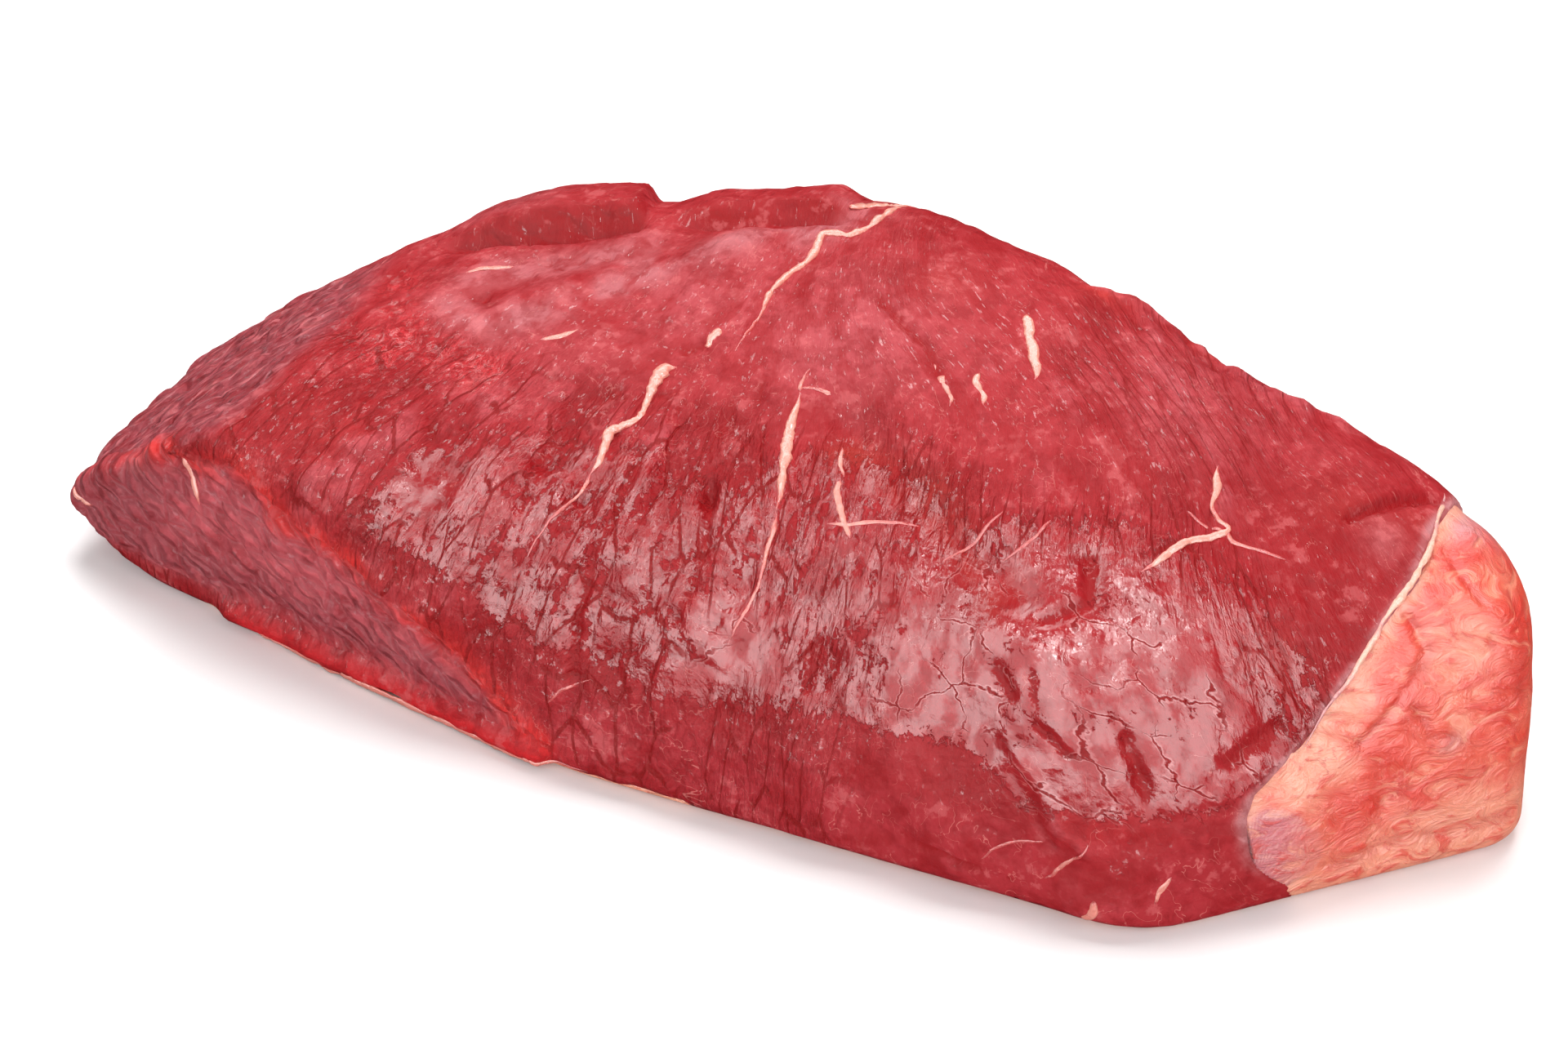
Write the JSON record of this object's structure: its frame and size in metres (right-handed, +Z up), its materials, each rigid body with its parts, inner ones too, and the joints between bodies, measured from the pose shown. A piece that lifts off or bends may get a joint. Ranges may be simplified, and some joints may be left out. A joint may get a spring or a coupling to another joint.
{
  "type": "raw beef rump",
  "caption": "Raw boneless beef rump joint: a long lean piece with a trimmed, pointed left end and a fat-covered right end.",
  "frame": {"origin": "middle of the underside of the bounding box, on the surface that the meat lies on", "axes": "+X along the length towards the fat-covered end, +Y towards the back rim, +Z up"},
  "size_m": [0.3652, 0.1793, 0.0828],
  "materials": {
    "raw_beef": "wet raw meat, semi-gloss, with creamy fat at one end"
  },
  "bodies": {
    "root": {"beef_rump": "raw_beef"}
  },
  "joints": []
}
